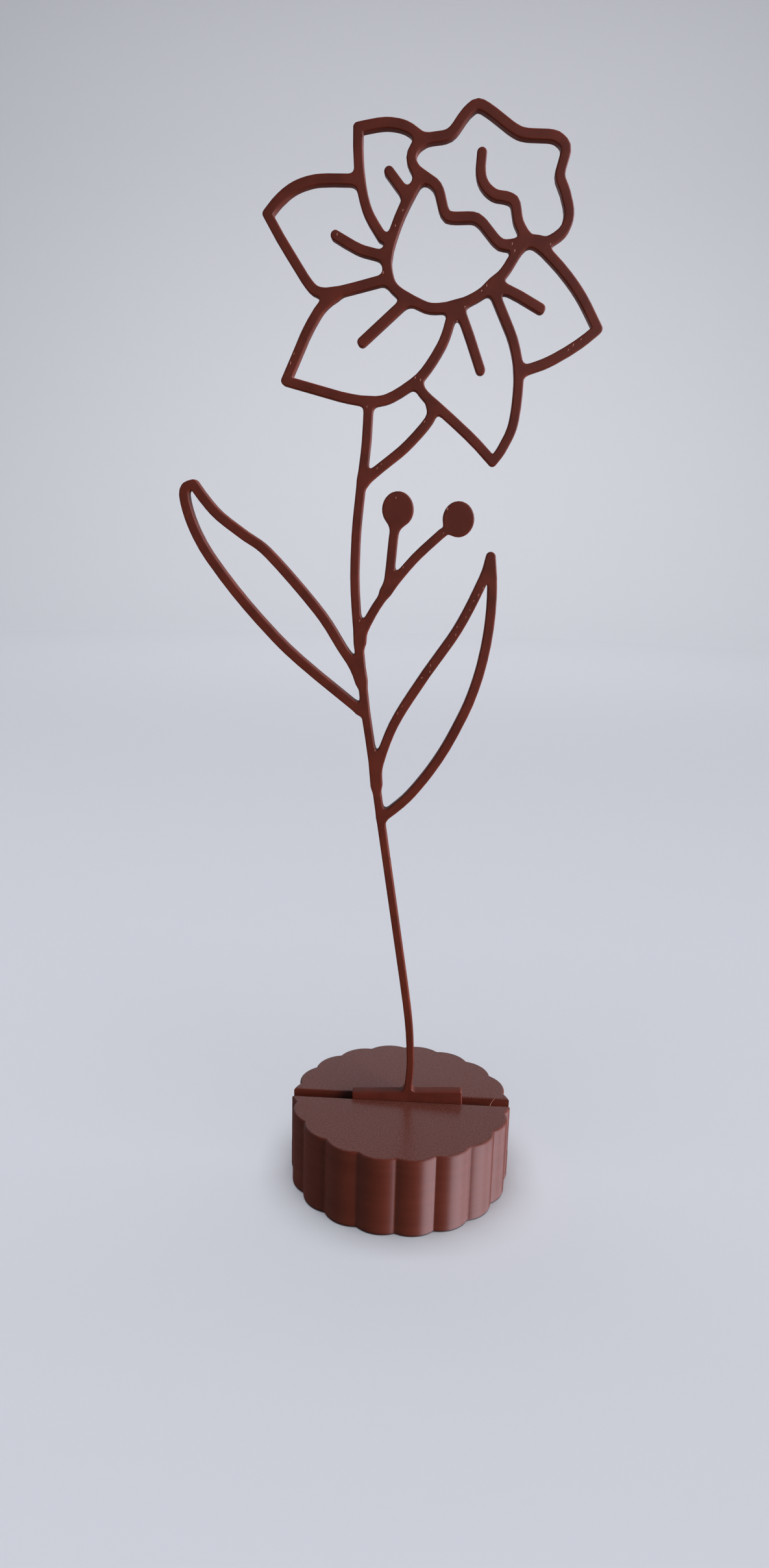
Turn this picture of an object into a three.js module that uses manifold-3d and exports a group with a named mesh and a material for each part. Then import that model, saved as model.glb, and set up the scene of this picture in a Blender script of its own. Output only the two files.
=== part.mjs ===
// A narcissus drawn in one even line and printed as a flat plate. It stands in the slot of a round,
// scalloped base and lifts out. Millimetres, +Z up. The base stands on Z = 0 with its axis on Z,
// the slot runs along X, and the flower's face looks along -Y.
import * as THREE from "three";
import { mergeVertices } from "three/addons/utils/BufferGeometryUtils.js";
import Module from "manifold-3d";

// The printed plate.
const PLATE_THICKNESS = 2.4;
const LINE_WIDTH = 1.85; // petals, cup and branches
const LEAF_WIDTH = 1.95;
const STEM_FOOT_WIDTH = 1.6; // the stem thins towards the base
const FILLET = 1.3; // how far two lines flow into each other where they meet
const BUD_HALF_WIDTH = 3.15;
const BUD_HALF_HEIGHT = 3.5;

// The base and its slot.
const BASE_HEIGHT = 18;
const CREST_RADIUS = 25;
const GROOVE_RADIUS = 24;
const FLUTES = 18;
const GROOVE_FLOOR = 0.3; // the narrow flat at the bottom of each groove
const RIM_ROUND = 0.5;
const SLOT_WIDTH = 3.2;
const SLOT_DEPTH = 12;

// The foot bar, which fills the middle of the slot and stands proud of the base. It sits a little
// askew: its left corner is down on the slot's floor and its right end is raised.
const FOOT_LENGTH = 25;
const FOOT_HEIGHT = 13.4;
const FOOT_CORNER = 0.4;
const FOOT_CENTRE_X = 1.7;
const FOOT_TILT = THREE.MathUtils.degToRad(3.4);

// Fineness of the traced outline, and of the base's round stretches.
const CELL = 0.25;
const TOLERANCE = 0.025;
const CURVE_STEP = 0.8;
const CREST_STEPS = 12;
const RIM_STEPS = 3;

const SLOT_FLOOR = BASE_HEIGHT - SLOT_DEPTH;

// The rectangle that the foot bar's corners are rounded from, and the height of its centre.
const FOOT_HALF = new THREE.Vector2(FOOT_LENGTH / 2 - FOOT_CORNER, FOOT_HEIGHT / 2 - FOOT_CORNER);
const FOOT_RISE = FOOT_HALF.x * Math.sin(FOOT_TILT) + FOOT_HALF.y * Math.cos(FOOT_TILT);
const FOOT_CENTRE = new THREE.Vector2(FOOT_CENTRE_X, SLOT_FLOOR + FOOT_CORNER + FOOT_RISE);

// The drawing as centre lines. Each line is a list of smooth runs of [x, z] points, and it turns a
// sharp corner where one run ends and the next begins.
const PETAL_LINES = [
  // left petal: outline, vein
  [
    [[-14.4, 207.2], [-19.7, 207.2], [-22.8, 206.8], [-25.9, 205.6], [-28.5, 203.6], [-30.6, 201.2]],
    [[-30.6, 201.2], [-28.2, 197.2], [-24.9, 192.3], [-23, 189.6], [-21.3, 188], [-18.7, 187.7],
     [-15.1, 188.4], [-8.3, 190.2]],
  ],
  [[[-17.7, 197.7], [-15.3, 196.4], [-12.6, 195.2], [-8.6, 194.3]]],
  // lower left petal: outline, vein
  [
    [[-17.9, 187.2], [-20.1, 185.3], [-21.6, 183.2], [-23.3, 180.1], [-25.1, 176], [-27, 171.8]],
    [[-27, 171.8], [-20.2, 170.1], [-15.1, 168.9], [-10.6, 168.4], [-7.1, 168.9], [-3, 171.3],
     [0, 174], [3.3, 179.4], [4.8, 184.6]],
  ],
  [[[-4.3, 186.3], [-12.3, 179.1]]],
  // top petal: outline, vein
  [
    [[-9, 197.6], [-11.4, 201.2], [-12.6, 204.4], [-13.4, 208.4], [-13.75, 212.5], [-13.8, 215.8]],
    [[-13.8, 215.8], [-10.1, 216.5], [-7.6, 216.6], [-5.1, 216.1], [-3.3, 215.1], [-2.5, 214.3]],
  ],
  [[[-5, 205.2], [-6.7, 207.2], [-7.9, 208.6]]],
  // right petal: outline, vein
  [
    [[20.3, 196.8], [25, 192.5], [28.9, 187.9], [32.4, 182.2]],
    [[32.4, 182.2], [29.6, 179.9], [26.4, 177.8], [22.8, 175.9], [18.8, 174.5]],
  ],
  [[[13.2, 189.5], [17, 187.9], [21.4, 185.6]]],
  // lower right petal: outline, vein
  [
    [[12.2, 188.9], [14.2, 184.9], [16.8, 179.3], [18, 173.2], [17.5, 165.1], [15.6, 160.3], [13.8, 157.7]],
    [[13.8, 157.7], [10.1, 161.4], [5.4, 165.4], [0.4, 169.4], [-0.9, 171]],
  ],
  [[[6.1, 185.4], [8, 181.1], [10.6, 174.5]]],
];

const CUP_LINES = [
  // the cup's side, bottom and throat
  [
    [[-2.2, 207.7], [-4.1, 204.4], [-6, 200.4], [-7.6, 195.4], [-7.8, 192.3], [-6.4, 188.7],
     [-1.5, 186], [1.5, 185.3], [6.1, 186.1], [9.9, 187.9], [12.4, 190.1], [14.4, 192], [16.8, 196]],
  ],
  // the frilled rim, from the front corner round the back to the right corner
  [
    [[-0.9, 207.6], [-2.4, 208.4], [-3.6, 209.9], [-3.8, 211.5], [-2.8, 213.1], [-1, 214.1], [3, 214.9],
     [5.2, 217.5], [6.3, 218.8], [8, 219.8], [10.3, 218.8], [14.5, 216], [16.9, 215.1], [21.5, 214.9],
     [23.3, 214.2], [24.4, 212.5], [23.6, 208.4], [24.8, 205.4], [25.7, 201.9], [24.8, 199], [21.9, 197.1],
     [19.6, 197.3]],
    // and along its front edge, back to the front corner
    [[19.6, 197.3], [14.5, 196.5], [12.8, 197], [11.2, 198.6], [9.7, 200.2], [8, 201.1], [3.9, 201.1],
     [2.6, 202], [1.6, 205.2], [0.7, 206.6], [-0.9, 207.6]],
  ],
  // the fold inside the cup
  [[[9.1, 211.9], [9, 209.2], [9.4, 207.3], [10.4, 205.9], [12, 204.9], [14, 204.6], [15.6, 203.7],
    [16.4, 200.5], [17.7, 198.3]]],
];

const BRANCH_LINES = [
  // the branch that rises from the stem to the lower right petal
  [[[1.5, 167.4], [1, 165], [-3.4, 160], [-8.4, 155.9], [-11.2, 153.5]]],
  // the bud sprig and its two stalks
  [[[-11.3, 121.6], [-10.9, 123.9], [-8.5, 128.7], [-5.2, 133.4], [-0.8, 138.8], [4.3, 143.7]]],
  [[[-6.6, 132.2], [-6, 134], [-5.6, 138], [-5.3, 142], [-5, 144.6]]],
];

const LEAF_LINES = [
  // left leaf
  [
    [[-11.4, 107.5], [-12.9, 108.8], [-20.4, 114.6], [-26.4, 119.6], [-31.6, 124.8], [-36.2, 129.9],
     [-40.3, 135], [-43.8, 140], [-46.2, 145], [-47.4, 149.5], [-47, 151.4], [-45.5, 152]],
    [[-45.5, 152], [-43.4, 149.2], [-40.4, 146], [-35.4, 142.4], [-30.2, 138.7], [-20.1, 127.6],
     [-15.1, 120.2], [-12.9, 117], [-11.3, 113.6]],
  ],
  // right leaf
  [
    [[-7.3, 91.6], [-7.1, 95.7], [-4.1, 104.7], [1.8, 114.8], [8.4, 124.9], [13.1, 134.9], [14.4, 139.5]],
    [[14.4, 139.5], [14.9, 134.9], [15, 129.9], [14.7, 124.9], [14, 119.8], [12.9, 114.8], [11.3, 109.7],
     [9.1, 104.6], [6.6, 99.6], [3.5, 94.6], [-0.4, 89.5], [-3.5, 86.5], [-5.6, 84.8]],
  ],
];

const STEM_LINE = [
  [[-10.8, 167.6], [-11.1, 160.1], [-12.2, 150], [-12.8, 141], [-12.6, 129.9], [-10.4, 109.8],
   [-8.8, 99.7], [-5.6, 79.6], [-2.3, 59.4], [0.9, 39.3], [1.8, 29.2], [1.8, 24.2], [1.5, 20.5]],
];

const BUD_CENTRES = [[-4.5, 148.2], [7.6, 146.6]];

const wasm = await Module();
wasm.setup();

// The sampled path along a line's smooth runs, each starting where the one before it ends.
function samplePath(runs) {
  return runs.flatMap((points, index) => {
    const curve = new THREE.SplineCurve(points.map(([x, z]) => new THREE.Vector2(x, z)));
    const samples = curve.getSpacedPoints(Math.ceil(curve.getLength() / CURVE_STEP));
    return index === 0 ? samples : samples.slice(1);
  });
}

// Distance from a point to the edge of a line whose width runs evenly from its start to its end.
function toLine(x, z, path, startWidth, endWidth) {
  let nearest = Infinity;
  for (let i = 1; i < path.length; i += 1) {
    const a = path[i - 1];
    const b = path[i];
    const dx = b.x - a.x;
    const dz = b.y - a.y;
    const along = ((x - a.x) * dx + (z - a.y) * dz) / (dx * dx + dz * dz);
    const t = THREE.MathUtils.clamp(along, 0, 1);
    const width = THREE.MathUtils.lerp(startWidth, endWidth, (i - 1 + t) / (path.length - 1));
    const away = Math.hypot(x - a.x - t * dx, z - a.y - t * dz) - width / 2;
    nearest = Math.min(nearest, away);
  }
  return nearest;
}

function toBud(x, z, [centreX, centreZ]) {
  const share = Math.hypot((x - centreX) / BUD_HALF_WIDTH, (z - centreZ) / BUD_HALF_HEIGHT);
  return (share - 1) * BUD_HALF_WIDTH;
}

function toFoot(x, z) {
  const level = new THREE.Vector2(x, z).sub(FOOT_CENTRE).rotateAround(new THREE.Vector2(), -FOOT_TILT);
  const outX = Math.abs(level.x) - FOOT_HALF.x;
  const outZ = Math.abs(level.y) - FOOT_HALF.y;
  const outside = Math.hypot(Math.max(outX, 0), Math.max(outZ, 0));
  return outside + Math.min(Math.max(outX, outZ), 0) - FOOT_CORNER;
}

// Every piece of the drawing as a distance function with the box it fills.
function drawing() {
  const pieces = [];
  const addLine = (runs, startWidth, endWidth = startWidth) => {
    const path = samplePath(runs);
    const box = new THREE.Box2().setFromPoints(path);
    pieces.push({ box, distance: (x, z) => toLine(x, z, path, startWidth, endWidth) });
  };
  [...PETAL_LINES, ...CUP_LINES, ...BRANCH_LINES].forEach((runs) => addLine(runs, LINE_WIDTH));
  LEAF_LINES.forEach((runs) => addLine(runs, LEAF_WIDTH));
  addLine(STEM_LINE, LINE_WIDTH, STEM_FOOT_WIDTH);
  BUD_CENTRES.forEach((centre) => {
    const box = new THREE.Box2().setFromCenterAndSize(
      new THREE.Vector2(...centre),
      new THREE.Vector2(2 * BUD_HALF_WIDTH, 2 * BUD_HALF_HEIGHT),
    );
    pieces.push({ box, distance: (x, z) => toBud(x, z, centre) });
  });
  const footBox = new THREE.Box2().setFromCenterAndSize(
    FOOT_CENTRE,
    new THREE.Vector2(FOOT_LENGTH, FOOT_LENGTH * Math.sin(FOOT_TILT) + FOOT_HEIGHT),
  );
  pieces.push({ box: footBox, distance: toFoot });
  return pieces;
}

// The nearer of two distances, with a fillet where they are alike.
function blend(a, b) {
  const share = Math.max(FILLET - Math.abs(a - b), 0) / FILLET;
  return Math.min(a, b) - (share * share * FILLET) / 4;
}

// The distance to the whole drawing, sampled on a square grid that reaches past all of it.
function sampleField(pieces) {
  const reach = LINE_WIDTH / 2 + 2 * FILLET;
  const bounds = new THREE.Box2();
  pieces.forEach(({ box }) => bounds.union(box));
  bounds.expandByScalar(reach + 2 * CELL);
  const columns = Math.ceil((bounds.max.x - bounds.min.x) / CELL) + 1;
  const rows = Math.ceil((bounds.max.y - bounds.min.y) / CELL) + 1;
  const values = new Float32Array(columns * rows).fill(reach);
  pieces.forEach(({ box, distance }) => {
    const firstColumn = Math.floor((box.min.x - reach - bounds.min.x) / CELL);
    const lastColumn = Math.ceil((box.max.x + reach - bounds.min.x) / CELL);
    const firstRow = Math.floor((box.min.y - reach - bounds.min.y) / CELL);
    const lastRow = Math.ceil((box.max.y + reach - bounds.min.y) / CELL);
    for (let row = firstRow; row <= lastRow; row += 1) {
      for (let column = firstColumn; column <= lastColumn; column += 1) {
        const x = bounds.min.x + column * CELL;
        const z = bounds.min.y + row * CELL;
        const index = row * columns + column;
        values[index] = blend(values[index], distance(x, z));
      }
    }
  });
  return { values, columns, rows, origin: bounds.min };
}

// Closed loops round the parts of the field below zero, solid on the left of each.
function traceLoops({ values, columns, rows, origin }) {
  const next = new Map();
  const points = new Map();
  const crossing = (a, b) => {
    const key = Math.min(a, b) * 2 + (Math.abs(a - b) === 1 ? 0 : 1);
    if (!points.has(key)) {
      const t = values[a] / (values[a] - values[b]);
      const column = THREE.MathUtils.lerp(a % columns, b % columns, t);
      const row = THREE.MathUtils.lerp(Math.floor(a / columns), Math.floor(b / columns), t);
      points.set(key, new THREE.Vector2(origin.x + column * CELL, origin.y + row * CELL));
    }
    return key;
  };
  for (let row = 0; row < rows - 1; row += 1) {
    for (let column = 0; column < columns - 1; column += 1) {
      const index = row * columns + column;
      const corners = [index, index + 1, index + columns + 1, index + columns];
      const inside = corners.map((corner) => values[corner] < 0);
      for (let k = 0; k < 4; k += 1) {
        if (!inside[k] || inside[(k + 1) % 4]) continue;
        let first = k;
        while (inside[(first + 3) % 4]) first = (first + 3) % 4;
        const leaving = crossing(corners[k], corners[(k + 1) % 4]);
        next.set(leaving, crossing(corners[(first + 3) % 4], corners[first]));
      }
    }
  }
  const loops = [];
  while (next.size > 0) {
    const loop = [];
    let key = next.keys().next().value;
    while (next.has(key)) {
      loop.push(points.get(key));
      const following = next.get(key);
      next.delete(key);
      key = following;
    }
    loops.push(loop);
  }
  return loops;
}

// Keeps the points of an open run that lie off the straight line by more than the tolerance.
function thin(run) {
  const start = run[0];
  const end = run[run.length - 1];
  const chord = new THREE.Vector2().subVectors(end, start);
  const length = Math.max(chord.length(), 1e-6);
  let farthest = 0;
  let index = 0;
  for (let i = 1; i < run.length - 1; i += 1) {
    const away = Math.abs(chord.cross(new THREE.Vector2().subVectors(run[i], start))) / length;
    if (away > farthest) {
      farthest = away;
      index = i;
    }
  }
  if (farthest < TOLERANCE) return [start, end];
  return [...thin(run.slice(0, index + 1)).slice(0, -1), ...thin(run.slice(index))];
}

function thinLoop(loop) {
  const half = Math.floor(loop.length / 2);
  const firstHalf = thin(loop.slice(0, half + 1));
  const secondHalf = thin([...loop.slice(half), loop[0]]);
  return [...firstHalf.slice(0, -1), ...secondHalf.slice(0, -1)];
}

// The plate: the largest loop is its outline and every other loop is an opening in it.
function plateGeometry() {
  const loops = traceLoops(sampleField(drawing())).map(thinLoop);
  loops.sort((a, b) => Math.abs(THREE.ShapeUtils.area(b)) - Math.abs(THREE.ShapeUtils.area(a)));
  const [outline, ...openings] = loops;
  const shape = new THREE.Shape(outline);
  shape.holes = openings.map((loop) => new THREE.Path(loop));
  return new THREE.ExtrudeGeometry(shape, { depth: PLATE_THICKNESS, bevelEnabled: false });
}

// One full crest arc between two grooves, repeated round the base. A crest lies on the slot's line.
function scallopedOutline() {
  const halfTurn = Math.PI / FLUTES;
  const halfChord = GROOVE_RADIUS * Math.sin(halfTurn);
  const rise = CREST_RADIUS - GROOVE_RADIUS * Math.cos(halfTurn);
  const arcRadius = (halfChord ** 2 + rise ** 2) / (2 * rise);
  const halfArc = Math.asin((halfChord - GROOVE_FLOOR / 2) / arcRadius);
  const points = [];
  for (let flute = 0; flute < FLUTES; flute += 1) {
    const turn = 2 * halfTurn * flute;
    for (let i = 0; i <= CREST_STEPS; i += 1) {
      const angle = THREE.MathUtils.lerp(-halfArc, halfArc, i / CREST_STEPS);
      const point = new THREE.Vector2(CREST_RADIUS - arcRadius, 0);
      point.x += arcRadius * Math.cos(angle);
      point.y += arcRadius * Math.sin(angle);
      points.push(point.rotateAround(new THREE.Vector2(), turn));
    }
  }
  return points;
}

function toSolid(geometry) {
  const bare = geometry.clone();
  bare.deleteAttribute("normal");
  bare.deleteAttribute("uv");
  const merged = mergeVertices(bare, 1e-4);
  return new wasm.Manifold(
    new wasm.Mesh({
      numProp: 3,
      vertProperties: merged.attributes.position.array,
      triVerts: new Uint32Array(merged.index.array),
    }),
  );
}

function toGeometry(solid) {
  const { vertProperties, triVerts } = solid.getMesh();
  const geometry = new THREE.BufferGeometry();
  geometry.setAttribute("position", new THREE.BufferAttribute(vertProperties, 3));
  geometry.setIndex(new THREE.BufferAttribute(triVerts, 1));
  return geometry.toNonIndexed();
}

// The base: a scalloped disc with rounded rims, cut right across by the slot.
function baseGeometry() {
  const disc = new THREE.ExtrudeGeometry(new THREE.Shape(scallopedOutline()), {
    depth: BASE_HEIGHT - 2 * RIM_ROUND,
    bevelThickness: RIM_ROUND,
    bevelSize: RIM_ROUND,
    bevelOffset: -RIM_ROUND,
    bevelSegments: RIM_STEPS,
  });
  disc.translate(0, 0, RIM_ROUND);
  const slot = new THREE.BoxGeometry(3 * CREST_RADIUS, SLOT_WIDTH, 2 * SLOT_DEPTH);
  slot.translate(0, 0, BASE_HEIGHT);
  return toGeometry(toSolid(disc).subtract(toSolid(slot)));
}

function part(name, geometry, material) {
  geometry.computeVertexNormals();
  const mesh = new THREE.Mesh(geometry, new THREE.MeshStandardMaterial(material));
  mesh.name = name;
  return mesh;
}

const flower = part("flower", plateGeometry(), { color: 0x55291f, roughness: 0.42, metalness: 0 });
flower.rotation.x = Math.PI / 2;
flower.position.y = PLATE_THICKNESS / 2;

const base = part("base", baseGeometry(), { color: 0x6a3a32, roughness: 0.45, metalness: 0 });

const ornament = new THREE.Group();
ornament.add(base, flower);

export default ornament;
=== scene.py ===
# A narcissus drawn in one even line and printed flat in brown PLA. It stands by its foot bar in the slot of
# a round fluted base. Metres, +Z up, with the flower's face looking along -Y.
import math
import random

import bmesh
import bpy
import numpy as np
from mathutils import Matrix, Vector
from mathutils.geometry import delaunay_2d_cdt


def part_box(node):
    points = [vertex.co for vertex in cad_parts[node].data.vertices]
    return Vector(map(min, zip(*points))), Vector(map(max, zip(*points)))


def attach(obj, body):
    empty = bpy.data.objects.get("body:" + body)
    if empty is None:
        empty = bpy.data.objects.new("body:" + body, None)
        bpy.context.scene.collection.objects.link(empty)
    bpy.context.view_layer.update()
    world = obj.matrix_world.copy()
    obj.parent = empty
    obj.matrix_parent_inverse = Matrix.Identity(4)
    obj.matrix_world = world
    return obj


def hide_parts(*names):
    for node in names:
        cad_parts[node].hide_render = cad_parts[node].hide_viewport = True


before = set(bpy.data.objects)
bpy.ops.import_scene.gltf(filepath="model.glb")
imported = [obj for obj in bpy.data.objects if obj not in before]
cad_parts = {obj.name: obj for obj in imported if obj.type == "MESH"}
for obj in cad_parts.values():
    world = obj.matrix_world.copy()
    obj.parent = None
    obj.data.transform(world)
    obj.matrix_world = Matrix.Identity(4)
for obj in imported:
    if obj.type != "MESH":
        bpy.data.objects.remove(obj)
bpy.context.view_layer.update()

MM = 0.001

# How the two pieces are printed.
PLATE_LAYER = 0.2 * MM  # height of one printed layer of the plate
BASE_LAYER = 0.1 * MM  # and of the base
TRACK = 0.46 * MM  # width of one laid track of plastic
TOP_GRAIN = 0.34 * MM  # grain of the base's top, drawn a little coarser than it is, so that it shows
PLA_IOR = 1.46

# The plate.
PLATE_EDGE = 0.28 * MM  # radius of its rounded edges
EDGE_STEPS = 7
FACE_GRID = 0.45 * MM  # spacing of the points inside its faces
FACE_MARGIN = 0.4 * FACE_GRID  # and the least they stay away from the rim
FRONT_DEPTH = 0.01 * MM  # a corner no further back than this is on the front face
CORNER_STEPS = 1e7  # corners are rounded to this many steps a metre, so that shared ones match
MITRE_LIMIT = 0.5  # lets no corner move more than twice as far as the sides beside it

# The base.
FLUTES = 18
FLUTE_DEPTH = 1.0 * MM
FLUTE_STEPS = 26
GROOVE_FLOOR = 0.16 * MM  # the narrow flat at the bottom of each groove
RIM_ROUND = 0.5 * MM  # radius of its rounded rims
RIM_STEPS = 6
SLOT_WIDTH = 3.2 * MM
SLOT_LIP = 0.22 * MM  # radius of the slot's rounded lips
LIP_STEPS = 4
SHARP_ANGLE = 32  # degrees between faces beyond which an edge is drawn sharp
TOP_BAND = 0.1 * MM  # the grained faces lie no further below the top than this
TOP_FACING = 0.9  # and look upwards at least this much, where 1 is straight up

# The camera: its place in millimetres, its angles in degrees, and its focal length in pixels of the whole
# picture.
PHOTO_HEIGHT = 2416
CAMERA_PLACE = (4.1, -213.5, 144.0)
CAMERA_TURN = 2.63  # about the upright, anticlockwise seen from above
CAMERA_DIP = 13.74  # below the level
CAMERA_ROLL = 1.56  # about its line of sight, anticlockwise seen from behind it
FOCAL_PIXELS = 1595
SENSOR = 36.0  # millimetres along the picture's longer side

# Small ridges that the nozzle left on the plate's face: (x, z) in millimetres.
NOZZLE_MARKS = [
    (-6.5, 199.4), (-5.2, 202.0), (-12.9, 214.4), (-17.4, 197.8), (-8.6, 191.3), (-26.1, 175.0),
    (-25.4, 176.7), (-11.1, 167.3), (15.4, 196.6), (15.9, 195.4), (22.5, 196.6), (10.1, 188.4),
    (11.0, 189.4), (7.1, 185.6), (5.7, 183.0), (27.9, 179.2), (29.3, 180.2), (27.0, 178.3),
    (-0.9, 172.4), (-1.9, 172.8), (0.2, 164.8), (-8.0, 156.7), (-8.8, 155.9), (5.3, 148.5),
    (-5.0, 150.4), (4.7, 143.8), (-3.1, 137.0), (-4.9, 136.4), (13.1, 133.3), (12.2, 131.9),
    (11.3, 130.7), (10.6, 128.9), (9.9, 127.4), (8.2, 125.4), (8.0, 123.8), (6.7, 121.5),
    (3.1, 117.4), (3.0, 116.1), (1.4, 114.8), (-2.5, 108.7), (-3.4, 107.2), (-7.9, 99.1),
    (-5.9, 86.8), (-11.7, 126.0), (-4.0, 75.6), (-1.2, 57.3),
]
MARK_SEED = 7

# Crumbs of plastic on the bar's face and on the slot's far lip: (x, y, z) in millimetres.
CRUMBS = [
    (4.1, -1.2, 18.8), (4.8, -1.2, 18.5), (7.2, -1.2, 18.8), (8.5, -1.2, 18.65), (9.2, -1.2, 18.9),
    (10.0, -1.2, 18.8), (8.6, -1.2, 20.05), (10.0, -1.2, 20.15), (11.2, -1.2, 20.2), (-9.1, -1.2, 19.0),
    (15.4, 1.62, 17.95), (16.3, 1.62, 17.95),
]
CRUMB_SEED = 11

# The fine string that crosses the slot, from its thick end on: (x, y, z) in millimetres.
STRING = [
    (20.2, -1.75, 17.97), (20.55, -0.8, 18.12), (20.9, 0.1, 18.15), (21.3, 1.1, 18.08), (21.6, 1.8, 17.97),
]
STRING_THICKNESS = 0.14 * MM
STRING_SIDES = 8
STRING_TAPER = 0.4  # the share of its thickness that it has lost at its far end


def linear(colour):
    """A colour written as sRGB hex, turned to linear red, green and blue."""
    shares = [int(colour[i : i + 2], 16) / 255 for i in (1, 3, 5)]
    return [s / 12.92 if s <= 0.04045 else ((s + 0.055) / 1.055) ** 2.4 for s in shares]


def rgba(colour):
    """The same with full opacity, as sockets take it."""
    return (*linear(colour), 1.0)


# Shapes ---------------------------------------------------------------------------------------------------


def new_object(name, data):
    made = bpy.data.objects.new(name, data)
    bpy.context.scene.collection.objects.link(made)
    return made


def mesh_object(name, shape, smooth=True):
    """An object made from a finished bmesh, which is let go."""
    mesh = bpy.data.meshes.new(name)
    shape.to_mesh(mesh)
    shape.free()
    if smooth:
        mesh.shade_smooth()
    return new_object(name, mesh)


def quarter_round(radius, steps):
    """A rounded edge as (how far in, how deep) points, from the face to the side."""
    turn = [math.pi / 2 * step / steps for step in range(steps + 1)]
    return [(radius * (1 - math.sin(a)), radius * (1 - math.cos(a))) for a in turn]


def bridge(shape, near, far):
    """Faces between two closed rings of points. They look outwards where far lies above near and both run
    anticlockwise."""
    for i in range(len(near)):
        j = (i + 1) % len(near)
        shape.faces.new((near[i], near[j], far[j], far[i]))


def face_loops(node):
    """The closed loops round the front face of a flat plate, as (x, z) points with plastic on their left."""
    mesh = node.data
    front = min(vertex.co.y for vertex in mesh.vertices)
    edges = {}  # keeps its order, so each run gives the same loops
    for polygon in mesh.polygons:
        corners = [mesh.vertices[i].co for i in polygon.vertices]
        if max(corner.y for corner in corners) > front + FRONT_DEPTH:
            continue
        keys = [(round(corner.x * CORNER_STEPS), round(corner.z * CORNER_STEPS)) for corner in corners]
        for start, end in zip(keys, keys[1:] + keys[:1]):
            edges[start, end] = True
    border = {start: end for start, end in edges if (end, start) not in edges}
    loops = []
    while border:
        key = next(iter(border))
        loop = []
        while key in border:
            loop.append(Vector((key[0] / CORNER_STEPS, key[1] / CORNER_STEPS)))
            key = border.pop(key)
        loops.append(loop)
    return loops


def inset(loop, distance):
    """The loop moved sideways into the plastic."""
    moved = []
    for before, here, after in zip(loop[-1:] + loop[:-1], loop, loop[1:] + loop[:1]):
        arriving = (here - before).normalized()
        leaving = (after - here).normalized()
        left = Vector((-arriving.y - leaving.y, arriving.x + leaving.x))
        moved.append(here + left * distance / max(1 + arriving.dot(leaving), MITRE_LIMIT))
    return moved


def distances(points, loops):
    """How far each point lies from the nearest loop, and whether it is inside the plastic."""
    points = np.array(points)
    nearest = np.full(len(points), np.inf)
    crossings = np.zeros(len(points), int)
    for loop in loops:
        corners = np.array([tuple(point) for point in loop])
        for start, end in zip(corners, np.roll(corners, -1, axis=0)):
            run = end - start
            share = np.clip((points - start) @ run / (run @ run), 0, 1)
            away = np.hypot(*(points - start - share[:, None] * run).T)
            nearest = np.minimum(nearest, away)
            spans = (start[1] > points[:, 1]) != (end[1] > points[:, 1])
            if run[1] != 0:
                reach = start[0] + (points[:, 1] - start[1]) / run[1] * run[0]
                crossings += spans & (points[:, 0] < reach)
    return nearest, crossings % 2 == 1


def fill_face(loops):
    """Fills the loops with triangles over a grid of points. Gives the points, the triangles, the number of
    the loop corner that each point is or -1, and how many loop corners there are."""
    corners = [point for loop in loops for point in loop]
    edges = []
    for loop in loops:
        first = len(edges)
        edges += [(first + i, first + (i + 1) % len(loop)) for i in range(len(loop))]
    low = Vector((min(p.x for p in corners), min(p.y for p in corners)))
    high = Vector((max(p.x for p in corners), max(p.y for p in corners)))
    columns = int((high.x - low.x) / FACE_GRID)
    rows = int((high.y - low.y) / FACE_GRID)
    grid = [
        (low.x + (column + 0.5 * (row % 2)) * FACE_GRID, low.y + row * FACE_GRID)
        for row in range(rows + 1)
        for column in range(columns + 1)
    ]
    away, within = distances(grid, loops)
    kept = [Vector(point) for point, a, w in zip(grid, away, within) if w and a > FACE_MARGIN]
    inside_only, same_point = 1, 1e-9  # which triangles to give, and how near two points count as one
    filled = delaunay_2d_cdt(corners + kept, edges, [], inside_only, same_point)
    made, _, triangles, origins, _, _ = filled
    middles = [sum((made[i] for i in triangle), Vector((0, 0))) / 3 for triangle in triangles]
    _, within = distances(middles, loops)
    triangles = [triangle for triangle, w in zip(triangles, within) if w]
    source = [origin[0] if origin else -1 for origin in origins]
    return made, triangles, source, len(corners)


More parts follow.
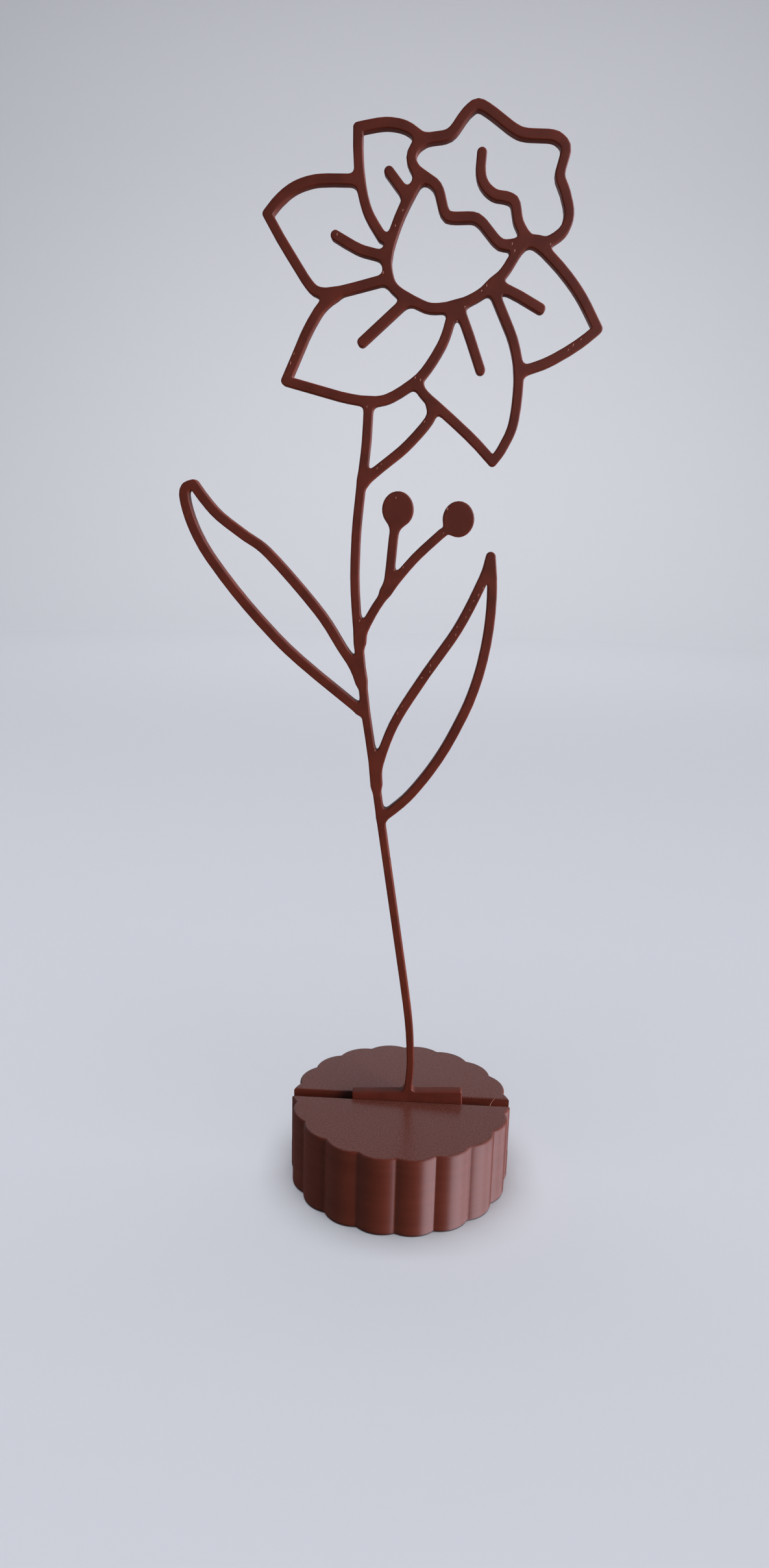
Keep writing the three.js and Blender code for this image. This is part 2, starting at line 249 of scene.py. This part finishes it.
def printed_plate(name, node):
    """The plate with rounded edges: rings of points from the front face over the edge to the back face. Each
    point keeps its distance from the outline in millimetres, which the laid tracks follow."""
    low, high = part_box(node.name)
    loops = face_loops(node)
    rounding = quarter_round(PLATE_EDGE, EDGE_STEPS)
    section = [(side, low.y + deep) for side, deep in rounding]
    section += [(side, high.y - deep) for side, deep in reversed(rounding)]
    rims = [inset(loop, PLATE_EDGE) for loop in loops]
    points, triangles, source, rim_count = fill_face(rims)
    depth, _ = distances([tuple(point) for point in points], loops)

    shape = bmesh.new()
    edge_distance = shape.verts.layers.float.new("edge_distance")
    rings = []
    for side, y in section:
        outline = [point for loop in loops for point in inset(loop, side)]
        rings.append([shape.verts.new((point.x, y, point.y)) for point in outline])
        for vertex in rings[-1]:
            vertex[edge_distance] = side / MM

    # The two faces share their rims with the first and the last ring.
    for y, ring, flip in ((low.y, rings[0], False), (high.y, rings[-1], True)):
        cap = []
        for point, origin, away in zip(points, source, depth):
            if 0 <= origin < rim_count:
                cap.append(ring[origin])
                continue
            cap.append(shape.verts.new((point.x, y, point.y)))
            cap[-1][edge_distance] = away / MM
        for triangle in triangles:
            corners = [cap[i] for i in triangle]
            shape.faces.new(corners[::-1] if flip else corners)

    # The edges run from ring to ring, one loop after another.
    first = 0
    for loop in loops:
        span = slice(first, first + len(loop))
        for near, far in zip(rings, rings[1:]):
            bridge(shape, far[span], near[span])
        first += len(loop)
    return mesh_object(name, shape)


def nozzle_marks(name, face_y):
    """Short low ridges across the line, each a flattened drop sunk a little into the plate's face."""
    chance = random.Random(MARK_SEED)
    shape = bmesh.new()
    for x, z in NOZZLE_MARKS:
        length = chance.uniform(0.2, 0.36) * MM
        width = chance.uniform(0.1, 0.15) * MM
        height = chance.uniform(0.03, 0.06) * MM
        lean = math.radians(chance.uniform(-8, 32))
        place = Matrix.Translation((x * MM, face_y, z * MM)) @ Matrix.Rotation(lean, 4, "Y")
        size = Matrix.Diagonal((width, height, length, 1))
        bmesh.ops.create_icosphere(shape, subdivisions=2, radius=1, matrix=place @ size)
    return mesh_object(name, shape)


def crumbs(name):
    """Small lumps, each a ball pushed out of round and sunk to about half its depth."""
    chance = random.Random(CRUMB_SEED)
    shape = bmesh.new()
    for x, y, z in CRUMBS:
        sizes = [chance.uniform(0.06, 0.12) * MM for _ in range(3)]
        place = Matrix.Translation((x * MM, y * MM, z * MM)) @ Matrix.Diagonal((*sizes, 1))
        bmesh.ops.create_icosphere(shape, subdivisions=2, radius=1, matrix=place)
    return mesh_object(name, shape)


def fine_string(name):
    """A hair of plastic that the nozzle pulled out, thinner at its far end, with both ends in the plastic."""
    points = [Vector(point) * MM for point in STRING]
    last = len(points) - 1
    angles = [2 * math.pi * j / STRING_SIDES for j in range(STRING_SIDES)]
    shape = bmesh.new()
    rings = []
    for i, point in enumerate(points):
        along = (points[min(i + 1, last)] - points[max(i - 1, 0)]).normalized()
        side = along.cross(Vector((0, 0, 1))).normalized()
        up = side.cross(along)
        radius = STRING_THICKNESS / 2 * (1 - STRING_TAPER * i / last)
        outline = [point + radius * (side * math.cos(a) + up * math.sin(a)) for a in angles]
        rings.append([shape.verts.new(place) for place in outline])
    for near, far in zip(rings, rings[1:]):
        bridge(shape, near, far)
    shape.faces.new(rings[0][::-1])
    shape.faces.new(rings[-1])
    bmesh.ops.recalc_face_normals(shape, faces=shape.faces)
    return mesh_object(name, shape)


def scalloped_outline(crest_radius):
    """Crest arcs with a narrow flat between them, as on the CAD base. A crest lies on the slot's line."""
    half_turn = math.pi / FLUTES
    groove_radius = crest_radius - FLUTE_DEPTH
    half_chord = groove_radius * math.sin(half_turn)
    rise = crest_radius - groove_radius * math.cos(half_turn)
    arc_radius = (half_chord**2 + rise**2) / (2 * rise)
    half_arc = math.asin((half_chord - GROOVE_FLOOR / 2) / arc_radius)
    outline = []
    for flute in range(FLUTES):
        turned = Matrix.Rotation(2 * half_turn * flute, 2)
        for step in range(FLUTE_STEPS + 1):
            angle = half_arc * (2 * step / FLUTE_STEPS - 1)
            out = crest_radius - arc_radius + arc_radius * math.cos(angle)
            outline.append(turned @ Vector((out, arc_radius * math.sin(angle))))
    return outline


def lathe_rings(name, outline, section):
    """A closed body from one outline, moved in and raised for each (inset, height) of the section."""
    shape = bmesh.new()
    rings = []
    for side, z in section:
        rings.append([shape.verts.new((*point, z)) for point in inset(outline, side)])
    for lower, upper in zip(rings, rings[1:]):
        bridge(shape, lower, upper)
    shape.faces.new(rings[0][::-1])
    shape.faces.new(rings[-1])
    return mesh_object(name, shape, smooth=False)


def slot_cutter(name, reach, floor_z, top_z):
    """The slot's section, with lips that flare where it opens, drawn out along X as far as the reach."""
    half = SLOT_WIDTH / 2
    above = 5 * MM  # how far it stands over the base
    lip = [(half + side, top_z - deep) for side, deep in quarter_round(SLOT_LIP, LIP_STEPS)]
    right = [(half, floor_z), *reversed(lip), (half + SLOT_LIP, top_z + above)]
    section = right + [(-y, z) for y, z in reversed(right)]
    shape = bmesh.new()
    left_end, right_end = [[shape.verts.new((x, y, z)) for y, z in section] for x in (-reach, reach)]
    bridge(shape, right_end, left_end)
    shape.faces.new(left_end)
    shape.faces.new(right_end[::-1])
    bmesh.ops.recalc_face_normals(shape, faces=shape.faces)
    return mesh_object(name, shape, smooth=False)


def printed_base(name, node, floor_z):
    """The fluted disc with rounded rims, cut by the slot."""
    low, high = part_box(node.name)
    outline = scalloped_outline(high.x)
    rounding = quarter_round(RIM_ROUND, RIM_STEPS)
    section = [(side, low.z + up) for side, up in rounding]
    section += [(side, high.z - down) for side, down in reversed(rounding)]
    disc = lathe_rings(name, outline, section)
    past_rim = 1.5 * high.x
    cutter = slot_cutter("slot_cutter", past_rim, floor_z, high.z)
    cut = disc.modifiers.new("slot", "BOOLEAN")
    cut.operation = "DIFFERENCE"
    cut.solver = "EXACT"
    cut.object = cutter
    smooth = disc.modifiers.new("even_shading", "WEIGHTED_NORMAL")
    smooth.keep_sharp = True

    # The cut goes into the mesh for good. The even shading stays a modifier, so it is off meanwhile.
    graph = bpy.context.evaluated_depsgraph_get()
    smooth.show_viewport = False
    graph.update()
    mesh = bpy.data.meshes.new_from_object(disc.evaluated_get(graph))
    disc.modifiers.remove(cut)
    disc.data = mesh
    smooth.show_viewport = True
    bpy.data.objects.remove(cutter)
    mesh.shade_smooth()
    mesh.set_sharp_from_angle(angle=math.radians(SHARP_ANGLE))
    return disc


# Materials ------------------------------------------------------------------------------------------------


def add(tree, kind, settings=(), links=()):
    """Adds a node. Settings are its properties, and its inputs by name or number. Links are the sockets that
    feed its inputs, or None where nothing does."""
    made = tree.nodes.new(kind)
    for name, value in dict(settings).items():
        if isinstance(name, str) and hasattr(made, name):
            setattr(made, name, value)
        else:
            made.inputs[name].default_value = value
    for name, socket in dict(links).items():
        if socket is not None:
            tree.links.new(socket, made.inputs[name])
    return made


def new_material(name, finish):
    """A material whose shader has the values of the finish on its own sockets."""
    material = bpy.data.materials.new(name)
    material.use_nodes = True
    tree = material.node_tree
    shader = tree.nodes["Principled BSDF"]
    for socket, value in finish.items():
        shader.inputs[socket].default_value = value
    return material, tree, shader


def drifting_brown(tree, place, patch, detail, low, high):
    """A brown that drifts in soft patches between two shades. Each shade comes with where in the patches'
    strength, from 0 to 1, it is reached."""
    patches = add(tree, "ShaderNodeTexNoise", {"Scale": 1 / patch, "Detail": detail}, {"Vector": place})
    brown = add(tree, "ShaderNodeValToRGB", {}, {"Fac": patches.outputs["Fac"]})
    for element, (reached, shade) in zip(brown.color_ramp.elements, (low, high)):
        element.position = reached
        element.color = rgba(shade)
    return brown.outputs["Color"]


def printed_lines(tree, along, pitch, depth, strength, under=None):
    """Rounded ridges, one for each laid track or layer, with grooves between them, on the surface under
    them."""
    turns = add(tree, "ShaderNodeMath", {"operation": "MULTIPLY", 1: math.pi / pitch}, {0: along})
    wave = add(tree, "ShaderNodeMath", {"operation": "SINE"}, {0: turns.outputs[0]})
    ridges = add(tree, "ShaderNodeMath", {"operation": "ABSOLUTE"}, {0: wave.outputs[0]})
    links = {"Height": ridges.outputs[0], "Normal": under}
    return add(tree, "ShaderNodeBump", {"Strength": strength, "Distance": depth}, links).outputs[0]


def uneven_skin(tree, place, size, detail, depth, strength, under=None):
    """Soft bumps all over, on the surface under them."""
    bumps = add(tree, "ShaderNodeTexNoise", {"Scale": 1 / size, "Detail": detail}, {"Vector": place})
    links = {"Height": bumps.outputs["Fac"], "Normal": under}
    return add(tree, "ShaderNodeBump", {"Strength": strength, "Distance": depth}, links).outputs[0]


def brown_pla_plate():
    """PLA, printed flat: tracks follow the outline on the faces, and layers show on the edges. To the eye it
    is a deep red brown with a satin face, and light sinks a little way into it."""
    finish = {
        "Roughness": 0.5,
        "IOR": PLA_IOR,
        "Specular IOR Level": 0.25,
        "Subsurface Weight": 0.5,
        "Subsurface Radius": (1.0, 0.35, 0.18),
        "Subsurface Scale": 1.5 * MM,
    }
    material, tree, shader = new_material("brown_pla_plate", finish)
    place = add(tree, "ShaderNodeTexCoord").outputs["Object"]
    axes = add(tree, "ShaderNodeSeparateXYZ", {}, {0: place}).outputs
    distance = add(tree, "ShaderNodeAttribute", {"attribute_name": "edge_distance"}).outputs["Fac"]
    brown = drifting_brown(
        tree, place, patch=5 * MM, detail=3.0, low=(0.35, "#4a1a0e"), high=(0.65, "#552013")
    )
    tracks = printed_lines(tree, distance, pitch=TRACK / MM, depth=0.012 * MM, strength=0.3)
    layers = printed_lines(tree, axes["Y"], pitch=PLATE_LAYER, depth=0.02 * MM, strength=0.6, under=tracks)
    skin = uneven_skin(
        tree, place, size=0.6 * MM, detail=2.0, depth=0.012 * MM, strength=0.4, under=layers
    )
    tree.links.new(brown, shader.inputs["Base Color"])
    tree.links.new(skin, shader.inputs["Normal"])
    return material


def scarred_pla_painted_glint():
    """PLA that the hot nozzle dragged up, shinier than the plate. Its paler colour is painted highlight."""
    material, tree, shader = new_material("scarred_pla_painted_glint", {"Roughness": 0.3, "IOR": PLA_IOR})
    place = add(tree, "ShaderNodeTexCoord").outputs["Object"]
    brown = drifting_brown(
        tree, place, patch=0.4 * MM, detail=1.0, low=(0.4, "#6b3325"), high=(0.65, "#875040")
    )
    tree.links.new(brown, shader.inputs["Base Color"])
    return material


def brown_pla_walls():
    """PLA, printed upright: fine layers lie in level lines up the flutes and smear each highlight up and
    down, so a crest carries a soft upright band of light. The layers are too fine to show in the picture, so
    the stretched gloss stands for what they do."""
    finish = {
        "Roughness": 0.56,
        "IOR": PLA_IOR,
        "Specular IOR Level": 0.8,
        "Anisotropic": 0.92,
        "Anisotropic Rotation": 0.25,
    }
    material, tree, shader = new_material("brown_pla_walls", finish)
    around = add(tree, "ShaderNodeTangent", {"direction_type": "RADIAL", "axis": "Z"}).outputs[0]
    place = add(tree, "ShaderNodeTexCoord").outputs["Object"]
    axes = add(tree, "ShaderNodeSeparateXYZ", {}, {0: place}).outputs
    level_streaks = (0.08, 0.08, 1.0)  # draws the patches out along the layers, to twelve times their height
    level = add(tree, "ShaderNodeMapping", {"Scale": level_streaks}, {"Vector": place}).outputs[0]
    brown = drifting_brown(
        tree, level, patch=1.2 * MM, detail=2.0, low=(0.3, "#4a1a0d"), high=(0.7, "#522013")
    )
    layers = printed_lines(tree, axes["Z"], pitch=BASE_LAYER, depth=0.003 * MM, strength=0.5)
    wobble = uneven_skin(
        tree, place, size=2.5 * MM, detail=2.0, depth=0.05 * MM, strength=0.25, under=layers
    )
    tree.links.new(brown, shader.inputs["Base Color"])
    tree.links.new(around, shader.inputs["Tangent"])
    tree.links.new(wobble, shader.inputs["Normal"])
    return material


def grained_top_painted_sheen():
    """PLA pressed on a powder-coated sheet, with a fine sandy grain. Its paler mauve cast is painted sheen.
    The grain is drawn a little coarser than the real one, so that it shows in the picture."""
    material, tree, shader = new_material("grained_top_painted_sheen", {"Roughness": 0.25, "IOR": 1.5})
    place = add(tree, "ShaderNodeTexCoord").outputs["Object"]
    brown = drifting_brown(
        tree, place, patch=TOP_GRAIN, detail=3.0, low=(0.3, "#461f17"), high=(0.7, "#653a31")
    )
    grain = uneven_skin(tree, place, size=TOP_GRAIN, detail=3.0, depth=0.045 * MM, strength=0.55)
    tree.links.new(brown, shader.inputs["Base Color"])
    tree.links.new(grain, shader.inputs["Normal"])
    return material


def pale_board():
    """Matte painted board for the floor and the backdrop."""
    finish = {"Roughness": 0.9, "Base Color": rgba("#c6c7ca")}
    return new_material("pale_board", finish)[0]


# The object -----------------------------------------------------------------------------------------------

flower_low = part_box("flower")[0]

flower = printed_plate("printed_flower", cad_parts["flower"])
flower.data.materials.append(brown_pla_plate())
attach(flower, "root")
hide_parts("flower")

marks = nozzle_marks("nozzle_marks", flower_low.y)
# The marks' paler colour is painted highlight.
marks.data.materials.append(scarred_pla_painted_glint())
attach(marks, "root")

lumps = crumbs("crumbs")
lumps.data.materials.append(flower.data.materials[0])
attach(lumps, "root")

string = fine_string("fine_string")
# The string's paler colour is painted highlight too.
string.data.materials.append(marks.data.materials[0])
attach(string, "root")

base = printed_base("printed_base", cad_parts["base"], flower_low.z)
base.data.materials.append(brown_pla_walls())
# The top's grained faces take the material whose mauve cast is painted sheen.
base.data.materials.append(grained_top_painted_sheen())
top_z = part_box("base")[1].z
for polygon in base.data.polygons:
    if polygon.normal.z > TOP_FACING and polygon.center.z > top_z - TOP_BAND:
        polygon.material_index = 1
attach(base, "root")
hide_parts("base")

# The studio, in metres and watts --------------------------------------------------------------------------

FLOOR_RADIUS = 1.3
PINHOLE = 0.001 * MM  # radius of the hole in the floor's middle, far too small to show
BACKDROP_RADIUS = 2.2
BACKDROP_HEIGHT = 2.7
CURVE_STEPS = 16
TURN_STEPS = 96

PIECE_HEART = (0, 0, 0.08)
DAYLIGHT = "#eaf0ff"
WARM_GLOW = "#ffdda0"

# Daylight from two windows on the right, one a little before the pieces and one a little behind them.
WINDOW = {"place": (1.213, -0.592, 0.50), "aim": PIECE_HEART, "size": (1.16, 0.9), "power": 51.0}
SIDE_WINDOW = {"place": (1.291, 0.395, 0.50), "aim": PIECE_HEART, "size": (0.88, 0.9), "power": 19.0}

# Warm light thrown up from under the pieces.
GLOW = {"place": (0, 0, 0.5 * MM), "aim": (0, 0, 1), "size": (0.4, 0.4), "colour": WARM_GLOW}


def turned_surface(name, section):
    """A smooth surface turned about the upright from a section of (radius, height) points. It looks up and
    inwards."""
    shape = bmesh.new()
    turns = [2 * math.pi * i / TURN_STEPS for i in range(TURN_STEPS)]
    rings = []
    for out, z in section:
        rings.append([shape.verts.new((out * math.cos(a), out * math.sin(a), z)) for a in turns])
    for lower, upper in zip(rings, rings[1:]):
        bridge(shape, upper, lower)
    return mesh_object(name, shape)


def studio_bowl(board):
    """A round floor, and a backdrop all round it that curves up from the floor's edge. The floor neither
    shows in the plastic's gloss nor lights the plastic."""
    floor = turned_surface("studio_floor", [(PINHOLE, 0), (FLOOR_RADIUS, 0)])
    curve = BACKDROP_RADIUS - FLOOR_RADIUS
    turn = [math.pi / 2 * step / CURVE_STEPS for step in range(CURVE_STEPS + 1)]
    section = [(FLOOR_RADIUS + curve * math.sin(a), curve * (1 - math.cos(a))) for a in turn]
    backdrop = turned_surface("studio_backdrop", [*section, (BACKDROP_RADIUS, BACKDROP_HEIGHT)])
    floor.visible_glossy = False
    floor.visible_diffuse = False
    for stage in (floor, backdrop):
        stage.data.materials.append(board)
    return floor, backdrop


def lit_group(name, members):
    """A collection that lamps can be kept to. It isn't part of the scene itself."""
    group = bpy.data.collections.new(name)
    for member in members:
        group.objects.link(member)
    return group


def soft_light(name, lit, place, aim, size, power, colour, spread=180, gloss=True):
    """A rectangular lamp that lights only the objects in one collection and isn't seen itself."""
    lamp = bpy.data.lights.new(name, "AREA")
    lamp.shape = "RECTANGLE"
    lamp.size, lamp.size_y = size
    lamp.energy = power
    lamp.color = linear(colour)
    lamp.spread = math.radians(spread)
    made = new_object(name, lamp)
    made.light_linking.receiver_collection = lit
    made.visible_camera = False
    made.visible_glossy = gloss
    made.location = place
    made.rotation_euler = (Vector(aim) - Vector(place)).to_track_quat("-Z", "Y").to_euler()
    return made


def highlight_light(name, lit, blockers, place, aim, size, power):
    """A lamp that shows only in the gloss. Only the blockers throw shadows from it, so it may lie below the
    floor."""
    made = soft_light(name, lit, place, aim, size, power, DAYLIGHT)
    made.visible_diffuse = False
    made.light_linking.blocker_collection = blockers


stage_parts = lit_group("lit_stage", studio_bowl(pale_board()))
pieces = lit_group("lit_pieces", (flower, marks, lumps, string, base))
plate_pieces = lit_group("lit_plate", (flower, marks, lumps, string))
base_piece = lit_group("lit_base", (base,))

# The pieces have their own lamps, so that these leave no glare on the board beside them.
soft_light("window", plate_pieces, colour=DAYLIGHT, **WINDOW)
soft_light("side_window", plate_pieces, colour=DAYLIGHT, **SIDE_WINDOW)
soft_light(
    "room", pieces, place=(-1.35, 0.42, 0.62), aim=PIECE_HEART, size=(1.1, 1.0), power=7.5,
    colour="#ffeedd", gloss=False,
)
soft_light("base_glow", base_piece, power=0.24, gloss=False, **GLOW)
soft_light("plate_glow", plate_pieces, power=0.45, gloss=False, **GLOW)
soft_light(
    "backdrop_wash", stage_parts, place=(0, 0.45, 1.65), aim=(0, 2.0, 0.45), size=(1.2, 0.66), power=7.8,
    colour="#fdfcff", spread=100,
)
soft_light(
    "overhead", stage_parts, place=(0, -0.1, 1.8), aim=(0, -0.1, 0), size=(1.8, 1.8), power=43.0,
    colour="#f6f8ff",
)

# The base gets the windows' light without their glare, a faint sheen, and its flutes' highlights from low
# lamps that its top can't mirror.
soft_light("base_window", base_piece, colour=DAYLIGHT, gloss=False, **WINDOW)
soft_light("base_side_window", base_piece, colour=DAYLIGHT, gloss=False, **SIDE_WINDOW)
highlight_light(
    "base_sheen", base_piece, pieces, place=(1.213, -0.592, 0.98), aim=PIECE_HEART, size=(1.16, 0.95),
    power=12.0,
)
highlight_light(
    "low_window", base_piece, pieces, place=(1.213, -0.592, -0.46), aim=(0, 0, 0), size=(1.16, 0.9),
    power=28.0,
)
highlight_light(
    "low_side_window", base_piece, pieces, place=(1.291, 0.395, -0.46), aim=(0, 0, 0), size=(0.88, 0.9),
    power=12.0,
)

world = bpy.data.worlds.new("studio_air")
world.use_nodes = True
air = world.node_tree.nodes["Background"]
air.inputs["Color"].default_value = rgba("#cfd3da")
air.inputs["Strength"].default_value = 0.06
bpy.context.scene.world = world
bpy.context.scene.view_settings.view_transform = "Standard"

# The camera -----------------------------------------------------------------------------------------------

lens = bpy.data.cameras.new("photo_camera")
lens.sensor_width = SENSOR
lens.lens = FOCAL_PIXELS / PHOTO_HEIGHT * SENSOR
lens.clip_start = 0.005
lens.clip_end = 20
camera = new_object("photo_camera", lens)
turned = Matrix.Rotation(math.radians(CAMERA_TURN), 4, "Z")
tilted = Matrix.Rotation(math.radians(90 - CAMERA_DIP), 4, "X")
rolled = Matrix.Rotation(math.radians(CAMERA_ROLL), 4, "Z")
camera.matrix_world = Matrix.Translation(Vector(CAMERA_PLACE) * MM) @ turned @ tilted @ rolled
bpy.context.scene.camera = camera
